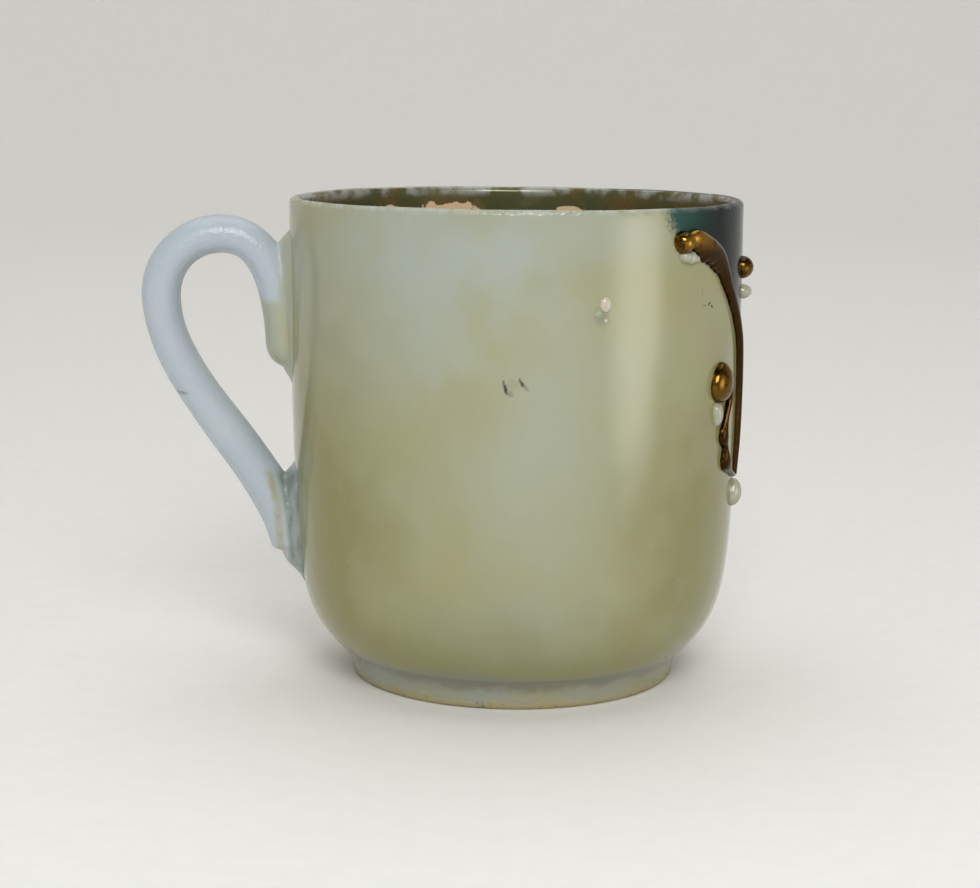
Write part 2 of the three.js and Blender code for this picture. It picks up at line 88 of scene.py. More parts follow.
class BowlSettings(bpy.types.PropertyGroup):
    """Sizes of the bowl and its foot."""

    height: length("Height", "Table to lip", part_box("cup_bowl")[1].z)
    rim_radius: length("Rim radius", "Outside of the straight wall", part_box("cup_bowl")[1].x)
    lip_thickness: length("Lip thickness", "Wall at the rounded lip", 1.4 * MM)
    wall_thickness: length("Wall thickness", "Wall lower down", 2.2 * MM)
    floor_thickness: length("Floor thickness", "Base under the drink", 3 * MM)
    base_radius: length("Base radius", "Edge of the bowl over the foot", 21.15 * MM)
    foot_height: length("Foot height", "Table to the bowl's base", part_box("foot_ring")[1].z)
    foot_radius: length("Foot radius", "Outside of the foot ring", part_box("foot_ring")[1].x)
    foot_width: length("Foot width", "Width of the foot ring at the bowl", 3.2 * MM)
    wobble: length("Wobble", "How far the wall strays from a true round", 0.07 * MM)


class HandleSettings(bpy.types.PropertyGroup):
    """Sizes of the handle and its slip."""

    loop_thickness: length("Loop thickness", "In the plane of the loop", 4.6 * MM)
    loop_width: length("Loop width", "Across the loop", 5.2 * MM)
    heel_thickness: length("Heel thickness", "At the lower end", 5.3 * MM)
    heel_width: length("Heel width", "Across the lower end", 6 * MM)
    slip_thickness: length("Slip thickness", "Slip squeezed out on the wall", 2 * MM)
    slip_width: length("Slip width", "Slip on the wall, with its run-out", 7.8 * MM)


class OrnamentSettings(bpy.types.PropertyGroup):
    """Sizes of the raised ornament."""

    scroll_width: length("Scroll width", "Widest part of the gilt stroke", 2.9 * MM)
    scroll_height: length("Scroll height", "Relief of the gilt stroke", 1.2 * MM)
    tendril_width: length("Tendril width", "Thin line under the lower bud", 0.8 * MM)


class FinishColours(bpy.types.PropertyGroup):
    """Colours of glaze, lustre, gold and enamel."""

    lustre: finish("Lustre", "Yellow-green lustre of the wall", "#9e9c70")
    # Bloom also paints the room's reflection on the outer wall: painted reflection
    bloom: finish("Bloom", "Bluish white clouds in the lustre", "#a7b0a8")
    # Ochre also fills patches where the wall turns from the light: painted shade
    ochre: finish("Ochre", "Deeper lustre low on the wall", "#807d3d")
    teal: finish("Teal", "Shaded ground at the front of the rim", "#34534c")
    # Slate is darkened to near black for the dark that the ground reflects: painted dark reflection
    slate: finish("Slate", "Greyer middle of that ground", "#1c2222")
    porcelain: finish("Porcelain", "Bluish white of the handle", "#b3bec9")
    gold: finish("Gold", "Burnished gilding", "#9a722c")
    # Bronze is worn gilding and also painted dark reflection in the gold
    bronze: finish("Bronze", "Dark worn gilding", "#24170a")
    peach: finish("Peach", "Lustre inside the bowl", "#c9b69a")
    enamel: finish("Enamel", "White drops", "#aeaf9f")
    cream: finish("Cream", "Stray drop on the wall", "#cfc2b0")
    biscuit: finish("Biscuit", "Bare edge of the foot", "#a2976e")
    stain: finish("Stain", "Iron specks and dirt", "#33291a")
    # Thin glaze is darker grey than the lustre: painted shade under the bowl's edge, where the lustre stops
    thin_glaze_and_shade: finish("Thin glaze", "Where the lustre stops over the foot", "#85877c")
    # Run out is a pale patch on the wall on both sides of the heel
    run_out: finish("Run out", "Glaze of the handle's slip on the wall", "#a3aa98")
    # Halo is a darker green patch below the stray drop
    halo: finish("Halo", "Green drawn round the stray drop", "#7b8a70")
    splash: finish("Splash", "Pale splash in that green", "#bcc6ae")
    frost: finish("Frost", "Lustre rubbed off the lip", "#b9beb6")
    band: finish("Band", "Thin olive gold inside the rim", "#4f5330")
    band_streak: finish("Band streak", "Browner streaks in that gold", "#67572b")
    band_chip: finish("Band chip", "Chips in that gold", "#dfc09a")
    band_frost: finish("Band frost", "That gold rubbed off the lip", "#a9aca4")
    foot: finish("Foot", "Bluish glaze of the foot ring", "#989c90")
    foot_patch: finish("Foot patch", "Warmer patches of that glaze", "#9d997b")
    # Crease is painted shade in the crease under the bowl
    crease: finish("Crease", "Glaze in the crease under the bowl", "#7d7f6e")
    milk: finish("Milk", "Paler clouds in the handle's glaze", "#bcc6cd")
    lap: finish("Lap", "Lustre over the handle's tongue", "#aeae90")
    slip: finish("Slip", "Glazed slip at the heel", "#77857f")
    slip_streak: finish("Slip streak", "Paler streaks in that slip", "#a3ada8")
    line: finish("Line", "Where the lustre stops at the heel", "#9b9452")
    # Nick is the grey in the nick on the leg
    nick: finish("Nick", "Dirt in the nick on the leg", "#7d8486")


class StageSettings(bpy.types.PropertyGroup):
    """Floor and lamps."""

    floor: finish("Floor", "Pale floor and backdrop", "#faf9f6")
    tooth: finish("Tooth", "Trace of grain in its paper", "#bcbcbc")
    key_power: power("Key power", "Lamp above the camera", 1.7)
    side_power: power("Side power", "Card at the right, for reflections", 0.03)
    top_power: power("Top power", "Large soft box overhead", 8)
    surround: bpy.props.FloatProperty(name="Surround", description="Light from all round", default=0.06)


# Shapes


def make_object(name, points, faces, material):
    """Makes a smooth object of points in millimetres."""
    mesh = bpy.data.meshes.new(name)
    mesh.from_pydata((np.asarray(points) * MM).tolist(), [], faces)
    mesh.validate()
    mesh.shade_smooth()
    mesh.materials.append(material)
    made = bpy.data.objects.new(name, mesh)
    bpy.context.scene.collection.objects.link(made)
    return made


def make_piece(name, points, faces, material, slot, *nodes):
    """Makes a piece that rides on the cup and stands for CAD nodes."""
    piece = make_object(name, points, faces, material)
    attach(piece, BODY)
    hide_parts(*nodes)
    return piece


def make_pair(slot, node, points, faces, material):
    """Makes an ornament and its mirror image on the other side of the front line."""
    make_piece(f"{slot}_{node}_left", points, faces, material, slot, f"{node}_left")
    turned = [face[::-1] for face in faces]
    make_piece(f"{slot}_{node}_right", points * (1, -1, 1), turned, material, slot, f"{node}_right")


def bezier(corners, count):
    """Points along a cubic curve."""
    t = np.linspace(0, 1, count)[:, None]
    a, b, c, d = np.asarray(corners, float)
    return (1 - t) ** 3 * a + 3 * t * (1 - t) ** 2 * b + 3 * t ** 2 * (1 - t) * c + t ** 3 * d


def bend(start, corner, end, count):
    """Points along a curve that turns from one line into another."""
    t = np.linspace(0, 1, count)[:, None]
    start, corner, end = np.asarray((start, corner, end), float)
    return (1 - t) ** 2 * start + 2 * t * (1 - t) * corner + t ** 2 * end


def arc(centre, radius, start, end, count):
    """Points along a round, with angles in degrees."""
    angles = np.radians(np.linspace(start, end, count))
    return np.column_stack((centre[0] + radius * np.cos(angles), centre[1] + radius * np.sin(angles)))


def smooth_line(points, count):
    """A line through points, evenly stepped, with every column carried along."""
    points = np.asarray(points, float)
    rows = np.vstack((2 * points[0] - points[1], points, 2 * points[-1] - points[-2]))
    t = np.linspace(0, 1, 24, endpoint=False)[:, None]
    runs = []
    for a, b, c, d in zip(rows, rows[1:], rows[2:], rows[3:]):
        turn = 2 * a - 5 * b + 4 * c - d
        runs.append(b + 0.5 * t * (c - a + t * (turn + t * (3 * (b - c) + d - a))))
    fine = np.vstack((*runs, points[-1]))
    steps = np.hypot(*np.diff(fine[:, :2], axis=0).T)
    travelled = np.concatenate(([0], np.cumsum(steps)))
    even = np.linspace(0, travelled[-1], count)
    return np.column_stack([np.interp(even, travelled, column) for column in fine.T])


def headings(line):
    """Unit steps along a line."""
    ahead = np.gradient(line, axis=0)
    return ahead / np.linalg.norm(ahead, axis=1, keepdims=True)


def smoothstep(low, high, value):
    """Soft step from 0 to 1 between two values."""
    share = np.clip((value - low) / (high - low), 0, 1)
    return share * share * (3 - 2 * share)


def revolve(profile, segments, closed=False):
    """Turns a profile of radius and height about the cup's axis. Ends on the axis become one point."""
    angles = np.linspace(0, 2 * math.pi, segments, endpoint=False)
    points = []
    rows = []
    for radius, height in profile:
        if radius < 1e-6:
            rows.append([len(points)] * segments)
            points.append((0, 0, height))
        else:
            rows.append(list(range(len(points), len(points) + segments)))
            points.extend((radius * math.cos(a), radius * math.sin(a), height) for a in angles)
    if closed:
        rows.append(rows[0])
    faces = []
    for low, high in zip(rows, rows[1:]):
        for side in range(segments):
            after = (side + 1) % segments
            corners = (low[side], low[after], high[after], high[side])
            faces.append(tuple(dict.fromkeys(corners)))
    return np.array(points, float), faces


def loft(rings):
    """Joins rings of equally many points into a closed skin, with a middle point at each end."""
    rings = np.asarray(rings, float)
    count, sides, _ = rings.shape
    points = np.vstack((rings.reshape(-1, 3), rings[0].mean(0), rings[-1].mean(0)))
    first = count * sides
    faces = []
    for side in range(sides):
        after = (side + 1) % sides
        faces.append((first, after, side))
        faces.append((first + 1, (count - 1) * sides + side, (count - 1) * sides + after))
        for row in range(0, (count - 1) * sides, sides):
            faces.append((row + side, row + after, row + sides + after, row + sides + side))
    return points, faces


def melt(parts, grain, rounds):
    """Joins closed parts into one skin on a grid of so many millimetres and smooths it, so that they run into
    each other as fired slip or enamel does."""
    points = []
    faces = []
    for part_points, part_faces in parts:
        start = len(points)
        points.extend(part_points.tolist())
        faces.extend(tuple(corner + start for corner in face) for face in part_faces)
    rough = bpy.data.meshes.new("melt")
    rough.from_pydata(points, [], faces)
    holder = bpy.data.objects.new("melt", rough)
    bpy.context.scene.collection.objects.link(holder)
    remesh = holder.modifiers.new("join", "REMESH")
    remesh.mode = "VOXEL"
    remesh.voxel_size = grain
    smooth = holder.modifiers.new("smooth", "SMOOTH")
    smooth.factor = 0.5
    smooth.iterations = rounds
    melted = bpy.data.meshes.new_from_object(holder.evaluated_get(bpy.context.evaluated_depsgraph_get()))
    corners = np.empty(len(melted.vertices) * 3)
    melted.vertices.foreach_get("co", corners)
    skin = [tuple(face.vertices) for face in melted.polygons]
    bpy.data.objects.remove(holder)
    bpy.data.meshes.remove(rough)
    bpy.data.meshes.remove(melted)
    return corners.reshape(-1, 3), skin


class Wall:
    """The bowl's outside: its profile, and places on it."""

    SHOULDER = 42  # height where the curve ends and the wall is straight
    PULL = 29.8  # from there down to the curve's upper control
    LEAN = 0.63  # from the rim's radius in to that control
    RISE = 5.5  # from the base up to the lower control
    FULLNESS = 0.94  # how far out that control lies, as a share of the way from the base to the rim

    def __init__(self, sizes):
        self.top = sizes.height / MM
        self.rim = sizes.rim_radius / MM
        self.base = sizes.base_radius / MM
        self.foot = sizes.foot_height / MM
        self.controls = np.array((
            (self.base, self.foot),
            (self.base + self.FULLNESS * (self.rim - self.base), self.foot + self.RISE),
            (self.rim - self.LEAN, self.SHOULDER - self.PULL),
            (self.rim, self.SHOULDER)))
        self.curve = bezier(self.controls, 400)

    def radius(self, height):
        """Outside radius at a height."""
        return np.interp(height, self.curve[:, 1], self.curve[:, 0])

    def place(self, across, height, out):
        """Point so far out of the wall."""
        angle = -np.asarray(across) / self.rim
        radius = self.radius(height) + out
        return np.stack(np.broadcast_arrays(radius * np.cos(angle), radius * np.sin(angle), height), -1)


EMBED = 0.35  # how far a raised stroke or drop reaches into the wall under it
ROOT = EMBED * 2.7  # how far a drop would reach if it closed to a full round there


def relief(wall, line, crest=0.0, torn=0.0, flank=0.5, sections=32):
    """A raised stroke on the wall. The line's columns are across, height, half width and relief. The crest
    moves the ridge to one side, torn roughens the other edge, and a flank above 1 is hollow."""
    angles = np.linspace(0, 2 * math.pi, sections, endpoint=False)
    rise = np.sin(angles)
    crown = np.clip(rise, 0, 1) ** (2 * flank)
    buried = EMBED * np.clip(rise, -1, 0)
    shape = np.cos(angles) + crest * np.clip(rise, 0, 1) ** 2
    edge = np.clip(-np.cos(angles), 0, 1) ** 6
    rings = []
    for number, ((across, height, half, lift), (run, fall)) in enumerate(zip(line, headings(line[:, :2]))):
        tear = torn * (math.sin(number * 1.3) + math.sin(number * 0.47 + 1) + math.sin(number * 2.9))
        side = half * (shape - tear * edge)
        rings.append(wall.place(across + fall * side, height - run * side, lift * crown + buried))
    return loft(rings)


def drop(wall, across, height, wide, tall, lift, taper=0.0, seed=0.0):
    """A domed drop on the wall. The taper narrows it towards the top, or, where negative, the bottom."""
    around = np.linspace(0, 2 * math.pi, 40, endpoint=False)
    rings = []
    for polar in np.radians(np.linspace(6, 112, 16)):
        spread = math.sin(polar) * (1 + 0.03 * np.sin(3 * around + seed))
        up = spread * np.sin(around)
        side = spread * np.cos(around) * (1 - taper * up)
        out = (lift if polar < math.pi / 2 else ROOT) * math.cos(polar)
        rings.append(wall.place(across + side * wide / 2, height + up * tall / 2, np.full(len(around), out)))
    return loft(rings)


# Materials


UNDER, TOP = 6, 7  # inputs of a colour Mix node for the ground and for the coat over it
RIPPLES = 7  # millimetres from one slow ripple of a glaze to the next


def fill(node, inputs):
    """Links or sets inputs of a node."""
    for key, value in inputs.items():
        if isinstance(value, bpy.types.NodeSocket):
            node.id_data.links.new(value, node.inputs[key])
        else:
            node.inputs[key].default_value = value


def add_node(tree, kind, inputs, out=0, **settings):
    """Adds a node with its settings and links, and gives one of its outputs."""
    node = tree.nodes.new("ShaderNode" + kind)
    for name, value in settings.items():
        setattr(node, name, value)
    fill(node, inputs)
    return node.outputs[out]


def reckon(add, operation, *values):
    """Result of a sum on values."""
    return add("Math", dict(enumerate(values)), operation=operation)


def ease(add, value, start, end, low=0.0, high=1.0):
    """Goes softly from low to high while a value goes from start to end."""
    return add("MapRange", {0: value, 1: start, 2: end, 3: low, 4: high}, interpolation_type="SMOOTHSTEP")


def oval_reach(add, place, centre, size, lean=0.0):
    """Distance of a place from a centre, as a share of half sizes, with a lean in degrees."""
    share = add("Mapping", {"Vector": place, "Location": centre, "Rotation": (0, 0, -math.radians(lean)),
                            "Scale": size}, vector_type="TEXTURE")
    return add("VectorMath", {0: share}, out="Value", operation="LENGTH")


def start_material(name):
    """A material with its shader, the function that adds its nodes, and where a point lies in millimetres."""
    material = bpy.data.materials.new(name)
    material.use_nodes = True
    tree = material.node_tree
    add = partial(add_node, tree)
    metres = add("TexCoord", {}, out="Object")
    place = add("VectorMath", {0: metres, "Scale": 1 / MM}, operation="SCALE")
    return material, tree.nodes["Principled BSDF"], add, place


def wander(add, place, size, low, high, cut=(0.3, 0.7), detail=3):
    """A value that wanders between two limits, in clouds about so many millimetres wide. The cut is the
    stretch of the noise that the limits are drawn from: a high and narrow one leaves specks."""
    noise = add("TexNoise", {"Vector": place, "Scale": 1 / size, "Detail": detail})
    return ease(add, noise, *cut, low, high)


def paint(add, ground, coats):
    """Lays coats over a ground colour, each of them a mask and a colour."""
    for mask, coat in coats:
        ground = add("Mix", {0: mask, UNDER: ground, TOP: coat}, out=2, data_type="RGBA")
    return ground


def wall_coordinates(add, place, rim):
    """Across and height on the wall, in millimetres, and both as one vector."""
    axes = add("SeparateXYZ", {0: place}).node.outputs
    angle = reckon(add, "ARCTAN2", axes["Y"], axes["X"])
    across = reckon(add, "MULTIPLY", angle, -rim)
    flat = add("CombineXYZ", {0: across, 1: axes["Z"]})
    return across, axes["Z"], flat


def spot(add, flat, ragged, oval, soft, strength=1.0, lean=0.0):
    """Mask of one ragged spot on the wall. The oval is across, height, half width and half height, and the
    lean is in degrees."""
    reach = oval_reach(add, flat, (*oval[:2], 0), (*oval[2:], 1), lean)
    edge = reckon(add, "ADD", reach, ragged)
    return ease(add, edge, 1 + soft, 1 - soft, high=strength)


def fired_surface(add, place, ripple, grain, pitch=0.7):
    """Normal of a fired glaze: slow ripples, and a fine grain of so many millimetres' pitch. Ripple and grain
    are heights in millimetres."""
    ripples = add("TexNoise", {"Vector": place, "Scale": 1 / RIPPLES, "Detail": 1})
    slow = add("Bump", {"Strength": 1, "Distance": ripple * MM, "Height": ripples})
    peel = add("TexNoise", {"Vector": place, "Scale": 1 / pitch, "Detail": 2})
    return add("Bump", {"Strength": 1, "Distance": grain * MM, "Height": peel, "Normal": slow})


# Edge of the shaded front ground, as height over the table and distance from the front line
PANEL_EDGE = ((20, 7.6), (30, 8.2), (37, 8.5), (41, 9.9), (44, 11.7), (46.1, 13.4), (48.6, 15.7),
              (50.5, 17.2), (52.6, 19.8), (54.2, 23.6), (55.2, 26.2), (58, 26.9))
# Iron specks and scratches on the photographed side: across, height, half width, half height, lean, strength
SPECKS = ((46.45, 38.6, 0.2, 0.68, 15, 1), (44.65, 39.15, 0.16, 0.5, 29, 0.9),
          (45.9, 38, 0.3, 0.4, 30, 0.3), (44.2, 38.6, 0.2, 0.35, 40, 0.35), (45.6, 39, 0.7, 0.6, 0, 0.12),
          (20.6, 46.8, 0.35, 0.12, 0, 0.5), (19.75, 46.9, 0.32, 0.14, 20, 0.9),
          (19.1, 46.6, 0.26, 0.12, -25, 0.8), (21.2, 48.3, 0.1, 0.5, 0, 0.25))
# Bluish clouds in the lustre, partly painted reflection of the room: across, height, half width, half height,
# softness
CLOUDS_AND_REFLECTIONS = ((64, 47, 14, 11, 0.55), (54, 54, 9, 7, 0.8), (38, 56, 12, 4, 0.8), (43, 32, 7, 14, 0.95),
          (46, 9, 11, 5, 0.8), (-40, 48, 14, 11, 0.8), (-58, 26, 12, 14, 0.8))
# Darker patches low on the wall where it turns from the light, painted shade: across, height, half width,
# half height
SHADE_PATCHES = ((76, 18, 13, 20), (15, 19, 14, 18), (-24, 22, 13, 14), (-74, 15, 16, 16))


def panel_edge(add, height):
    """How far the shaded front ground reaches from the front line at a height."""
    low, high = PANEL_EDGE[0][0], PANEL_EDGE[-1][0]
    share = add("MapRange", {0: height, 1: low, 2: high})
    edge = add("FloatCurve", {"Value": share})
    curve = edge.node.mapping.curves[0]
    rows = [((z - low) / (high - low), away / (high - low)) for z, away in PANEL_EDGE]
    curve.points[0].location = rows[0]
    curve.points[-1].location = rows[-1]
    for row in rows[1:-1]:
        curve.points.new(*row)
    edge.node.mapping.update()
    return reckon(add, "MULTIPLY", edge, high - low)


def film_masks(add, place, flat, level, ragged):
    """Masks of the bluish clouds, drawn out upwards by the brush, where the lustre went on thin and, in
    places, painted reflection of the room, and of the deeper lustre low on the wall, with painted shade where
    it turns from the light."""
    brushed = add("VectorMath", {0: place, 1: (1, 1, 0.5)}, operation="MULTIPLY")
    clouds = wander(add, brushed, 17, 0, 0.2)
    for *oval, soft in CLOUDS_AND_REFLECTIONS:
        cloud = spot(add, flat, ragged, oval, soft, 0.42)
        clouds = reckon(add, "ADD", clouds, cloud)
    clouds = reckon(add, "MINIMUM", clouds, 0.9)
    pooled_and_shade = ease(add, level, 19, 5, high=0.6)
    for oval in SHADE_PATCHES:
        patch = spot(add, flat, ragged, oval, 0.75, 0.75)
        pooled_and_shade = reckon(add, "MAXIMUM", pooled_and_shade, patch)
    return clouds, pooled_and_shade


def front_masks(add, place, away, height, level, ragged):
    """Masks of the ground inside the front scrolls, with a hairy edge, and of its shade, which fades out
    towards their feet."""
    inside = reckon(add, "SUBTRACT", panel_edge(add, height), away)
    hairs = wander(add, place, 0.35, -0.5, 0.5)
    inside = reckon(add, "ADD", inside, hairs)
    inside = reckon(add, "MULTIPLY_ADD", ragged, 3, inside)
    panel = ease(add, inside, -1.1, 1.3)
    fading = ease(add, level, 29, 48)
    return panel, reckon(add, "MULTIPLY", panel, fading)


def lustre_outside(colours, rim):
    """Mother-of-pearl lustre over glossy porcelain: a brushed and fired film, so the yellow-green is clouded
    with bluish white, partly painted reflection of the room, pools deeper low on the wall, with painted shade
    where the wall turns from the light, and throws sharp reflections. Under the bowl's edge the bare glaze is
    darkened as painted shade. The front ground is shaded from teal to a near-black slate, darkened as painted
    dark reflection, and is duller."""
    material, shader, add, place = start_material("mother_of_pearl_lustre")
    across, height, flat = wall_coordinates(add, place, rim)
    away = reckon(add, "ABSOLUTE", across)
    both_sides = add("CombineXYZ", {0: away, 1: height})
    ragged = wander(add, place, 9, -0.25, 0.25, detail=2)
    broken = wander(add, place, 0.4, -0.3, 0.3)
    level = reckon(add, "MULTIPLY_ADD", ragged, 9, height)
    clouds, pooled_and_shade = film_masks(add, place, flat, level, ragged)
    panel, shaded = front_masks(add, place, away, height, level, ragged)
    # The middle of the front ground is slate, near black: painted dark reflection
    middle = ease(add, away, 26.5, 17)
    ground = paint(add, colours.teal, [(middle, colours.slate)])
    gloss = add("MapRange", {0: shaded, 3: 0.5, 4: 0.06})

    # Fine pinholes in the film
    pinholes = wander(add, place, 0.5, 0, 0.15, (0.62, 0.72))
    # A darker green patch below the stray drop, with a pale splash in it
    halo = spot(add, flat, ragged, (35.8, 46.4, 0.8, 1), 0.7, 0.75)
    splash = spot(add, flat, broken, (36.1, 46.7, 0.35, 0.3), 0.6, 0.45)
    # A pale patch on the wall on both sides of the heel
    run_out = spot(add, both_sides, ragged, (math.pi * rim, 23, 7, 14), 0.5, 0.6)
    # The lustre stops over the foot, and the bare glaze under the bowl's edge is painted darker grey: painted
    # shade
    low = reckon(add, "MULTIPLY_ADD", ragged, 2, height)
    lustre_stop_and_shade = ease(add, low, 5.2, 3.8, high=0.7)

    # The lip is pitted, and frosted where the lustre is rubbed, less so on the front ground
    crest = ease(add, height, 57.2, 57.9)
    frost = reckon(add, "MULTIPLY", crest, wander(add, place, 2.5, 0, 0.8))
    rubbed = add("MapRange", {0: panel, 3: 1, 4: 0.35})
    frost = reckon(add, "MULTIPLY", frost, rubbed)
    pits = reckon(add, "MULTIPLY", crest, wander(add, place, 0.9, 0, 1))
    pitted = add("Bump", {"Strength": 1, "Distance": 0.15 * MM, "Height": pits,
                          "Normal": fired_surface(add, place, 0.05, 0.004)})
    roughness = wander(add, place, 9, 0.08, 0.17)
    roughness = reckon(add, "MULTIPLY_ADD", crest, 0.12, roughness)

    coats = [(clouds, colours.bloom), (pooled_and_shade, colours.ochre), (lustre_stop_and_shade, colours.thin_glaze_and_shade),
             (run_out, colours.run_out), (pinholes, colours.enamel), (halo, colours.halo),
             (splash, colours.splash), (shaded, ground)]
    for *oval, lean, strength in SPECKS:
        coats.append((spot(add, flat, broken, oval, 0.5, strength, lean), colours.stain))
    coats.append((frost, colours.frost))
    fill(shader, {"Base Color": paint(add, colours.lustre, coats), "Roughness": roughness, "IOR": 1.55,
                  "Specular IOR Level": gloss, "Normal": pitted})
    return material


# Chips in the gold band inside the rim: across, height, half width, half height
CHIPS = ((-49.7, 55, 4.4, 0.9), (-31.7, 54.8, 2.4, 0.55), (-58.2, 55, 2.3, 0.6), (-12, 54, 3, 1),
         (20, 53.6, 4, 1.2), (62, 54.4, 3, 0.8))


def lustre_inside(colours, rim):
    """Inside of the bowl: a brushed band of thin olive gold below the lip, worn through to a peach lustre."""
    material, shader, add, place = start_material("worn_gold_band_over_peach_lustre")
    _, height, flat = wall_coordinates(add, place, rim)
    level = reckon(add, "ADD", height, wander(add, place, 5, -0.8, 0.8))
    band = ease(add, level, 51.6, 52.4)
    torn = wander(add, place, 1.6, -0.36, 0.36)
    bare = 0
    for oval in CHIPS:
        chip = spot(add, flat, torn, oval, 0.06)
        bare = reckon(add, "MAXIMUM", chip, bare)
    kept = add("Math", {0: band, 1: bare}, operation="SUBTRACT", use_clamp=True)
    thin = reckon(add, "MULTIPLY", kept, wander(add, place, 6, 0, 1))
    top = ease(add, height, 56.4, 57.4)
    frost = reckon(add, "MULTIPLY", top, wander(add, place, 2.4, 0, 0.8, (0.4, 0.62)))
    colour = paint(add, colours.peach, [
        (wander(add, place, 14, 0, 1), colours.bloom), (bare, colours.band_chip), (kept, colours.band),
        (thin, colours.band_streak), (frost, colours.band_frost)])
    metallic = reckon(add, "MULTIPLY", kept, 0.35)
    fill(shader, {"Base Color": colour, "Metallic": metallic, "Roughness": wander(add, place, 3, 0.16, 0.34),
                  "IOR": 1.55, "Normal": fired_surface(add, place, 0.05, 0.006)})
    return material


def foot_glaze(colours):
    """Thin clear glaze on the foot ring, bluish white, wiped off its lower edge, which is bare and dirty.
    High on the foot, under the bowl's edge, it is painted darker grey: painted shade in the crease.
    """
    material, shader, add, place = start_material("wiped_glaze_over_biscuit")
    height = add("SeparateXYZ", {0: place}, out="Z")
    level = reckon(add, "ADD", height, wander(add, place, 3, -0.4, 0.4))
    bare = ease(add, level, 1.5, 0.3)
    low = ease(add, height, 1.6, 0.2)
    dirt = reckon(add, "MULTIPLY", low, wander(add, place, 0.6, 0, 0.7, (0.6, 0.72)))
    # Darker grey high on the foot, under the bowl's edge: painted shade in the crease
    crease_shade = ease(add, level, 2, 3.4)
    colour = paint(add, colours.foot, [
        (wander(add, place, 12, 0, 1), colours.foot_patch), (crease_shade, colours.crease),
        (bare, colours.biscuit), (dirt, colours.stain)])
    roughness = add("MapRange", {0: bare, 3: 0.16, 4: 0.6})
    fill(shader, {"Base Color": colour, "Roughness": roughness,
                  "Normal": fired_surface(add, place, 0.06, 0.02)})
    return material


def tongue_mask(add, axes, unsteady):
    """Mask of the lustre over the handle's tongue: behind an upright line, and all round below a level."""
    behind = reckon(add, "ADD", axes["X"], unsteady)
    behind = ease(add, behind, -28.9, -27.7)
    level = reckon(add, "MULTIPLY_ADD", unsteady, 1.5, axes["Z"])
    below = ease(add, level, 46.8, 45)
    lapped = reckon(add, "MAXIMUM", behind, below)
    for axis, start, end in (("X", -32, -31.6), ("Z", 33, 34)):
        limit = ease(add, axes[axis], start, end)
        lapped = reckon(add, "MULTIPLY", lapped, limit)
    return lapped


def heel_masks(add, place, axes, unsteady):
    """Masks of the slip at the heel, behind a line that bends away from the wall as it climbs, and of that
    line."""
    climb = reckon(add, "ADD", axes["Z"], -15.5)
    climb = reckon(add, "MAXIMUM", climb, 0)
    square = reckon(add, "POWER", climb, 2)
    shift = reckon(add, "MULTIPLY_ADD", square, 0.0147, 28.4)
    past = reckon(add, "ADD", axes["X"], shift)
    past = reckon(add, "MULTIPLY_ADD", unsteady, 0.4, past)
    low = ease(add, axes["Z"], 25.8, 24.4)
    slip = ease(add, past, 0.5, 1.3)
    slip = reckon(add, "MULTIPLY", slip, low)
    off_line = reckon(add, "ABSOLUTE", past)
    line = ease(add, off_line, 0.9, 0.1)
    for limit in (low, wander(add, place, 1.5, 0.35, 0.7)):
        line = reckon(add, "MULTIPLY", line, limit)
    return slip, line


def nick_mask(add, place, unsteady):
    """Mask of the grey in the nick on the leg."""
    reach = oval_reach(add, place, NICK, NICK_GREY)
    reach = reckon(add, "MULTIPLY_ADD", unsteady, 0.4, reach)
    return ease(add, reach, 1, 0.5, high=0.5)


def handle_glaze(colours):
    """Clear glossy glaze over bluish white porcelain, a little orange-peeled. The wall's lustre laps onto
    both ends of the handle, and at the heel it stops in a yellow line."""
    material, shader, add, place = start_material("clear_glaze_over_white_porcelain")
    axes = add("SeparateXYZ", {0: place}).node.outputs
    unsteady = wander(add, place, 3, -0.5, 0.5, (0.1, 0.9), 1)
    streaks = add("VectorMath", {0: place, 1: (1, 1, 0.25)}, operation="MULTIPLY")
    lapped = tongue_mask(add, axes, unsteady)
    milky = reckon(add, "MULTIPLY", lapped, wander(add, streaks, 1.2, 0, 0.8, (0.2, 0.8)))
    slip, line = heel_masks(add, place, axes, unsteady)
    pale = reckon(add, "MULTIPLY", slip, wander(add, streaks, 0.9, 0, 0.8))
    nick = nick_mask(add, place, unsteady)
    colour = paint(add, colours.porcelain, [
        (wander(add, place, 8, 0, 0.8, (0.1, 0.9), 1), colours.milk), (lapped, colours.lap),
        (milky, colours.bloom), (slip, colours.slip), (pale, colours.slip_streak), (line, colours.line),
        (nick, colours.nick)])
    fill(shader, {"Base Color": colour, "Roughness": wander(add, place, 6, 0.18, 0.26), "IOR": 1.52,
                  "Normal": fired_surface(add, place, 0.06, 0.08, 0.4)})
    return material


def gilding(colours, name, worn):
    """Burnished gold on raised paste: bright near the rim, dark brown lower down and in patches, which is
    wear and also painted dark reflection. Worn is the share of the gold painted dark brown below the upper
    ends of the strokes."""
    material, shader, add, place = start_material(name)
    height = add("SeparateXYZ", {0: place}, out="Z")
    # Dark brown below the upper ends and in patches: painted dark reflection, partly wear
    rubbed = ease(add, height, 55.5, 52.5, high=worn)
    thin = reckon(add, "MAXIMUM", rubbed, wander(add, place, 1.8, 0, 0.85, (0.45, 0.6)))
    colour = paint(add, colours.gold, [(thin, colours.bronze)])
    fill(shader, {"Base Color": colour, "Metallic": 1, "Roughness": wander(add, place, 1.4, 0.1, 0.26),
                  "Normal": fired_surface(add, place, 0.05, 0.02)})
    return material


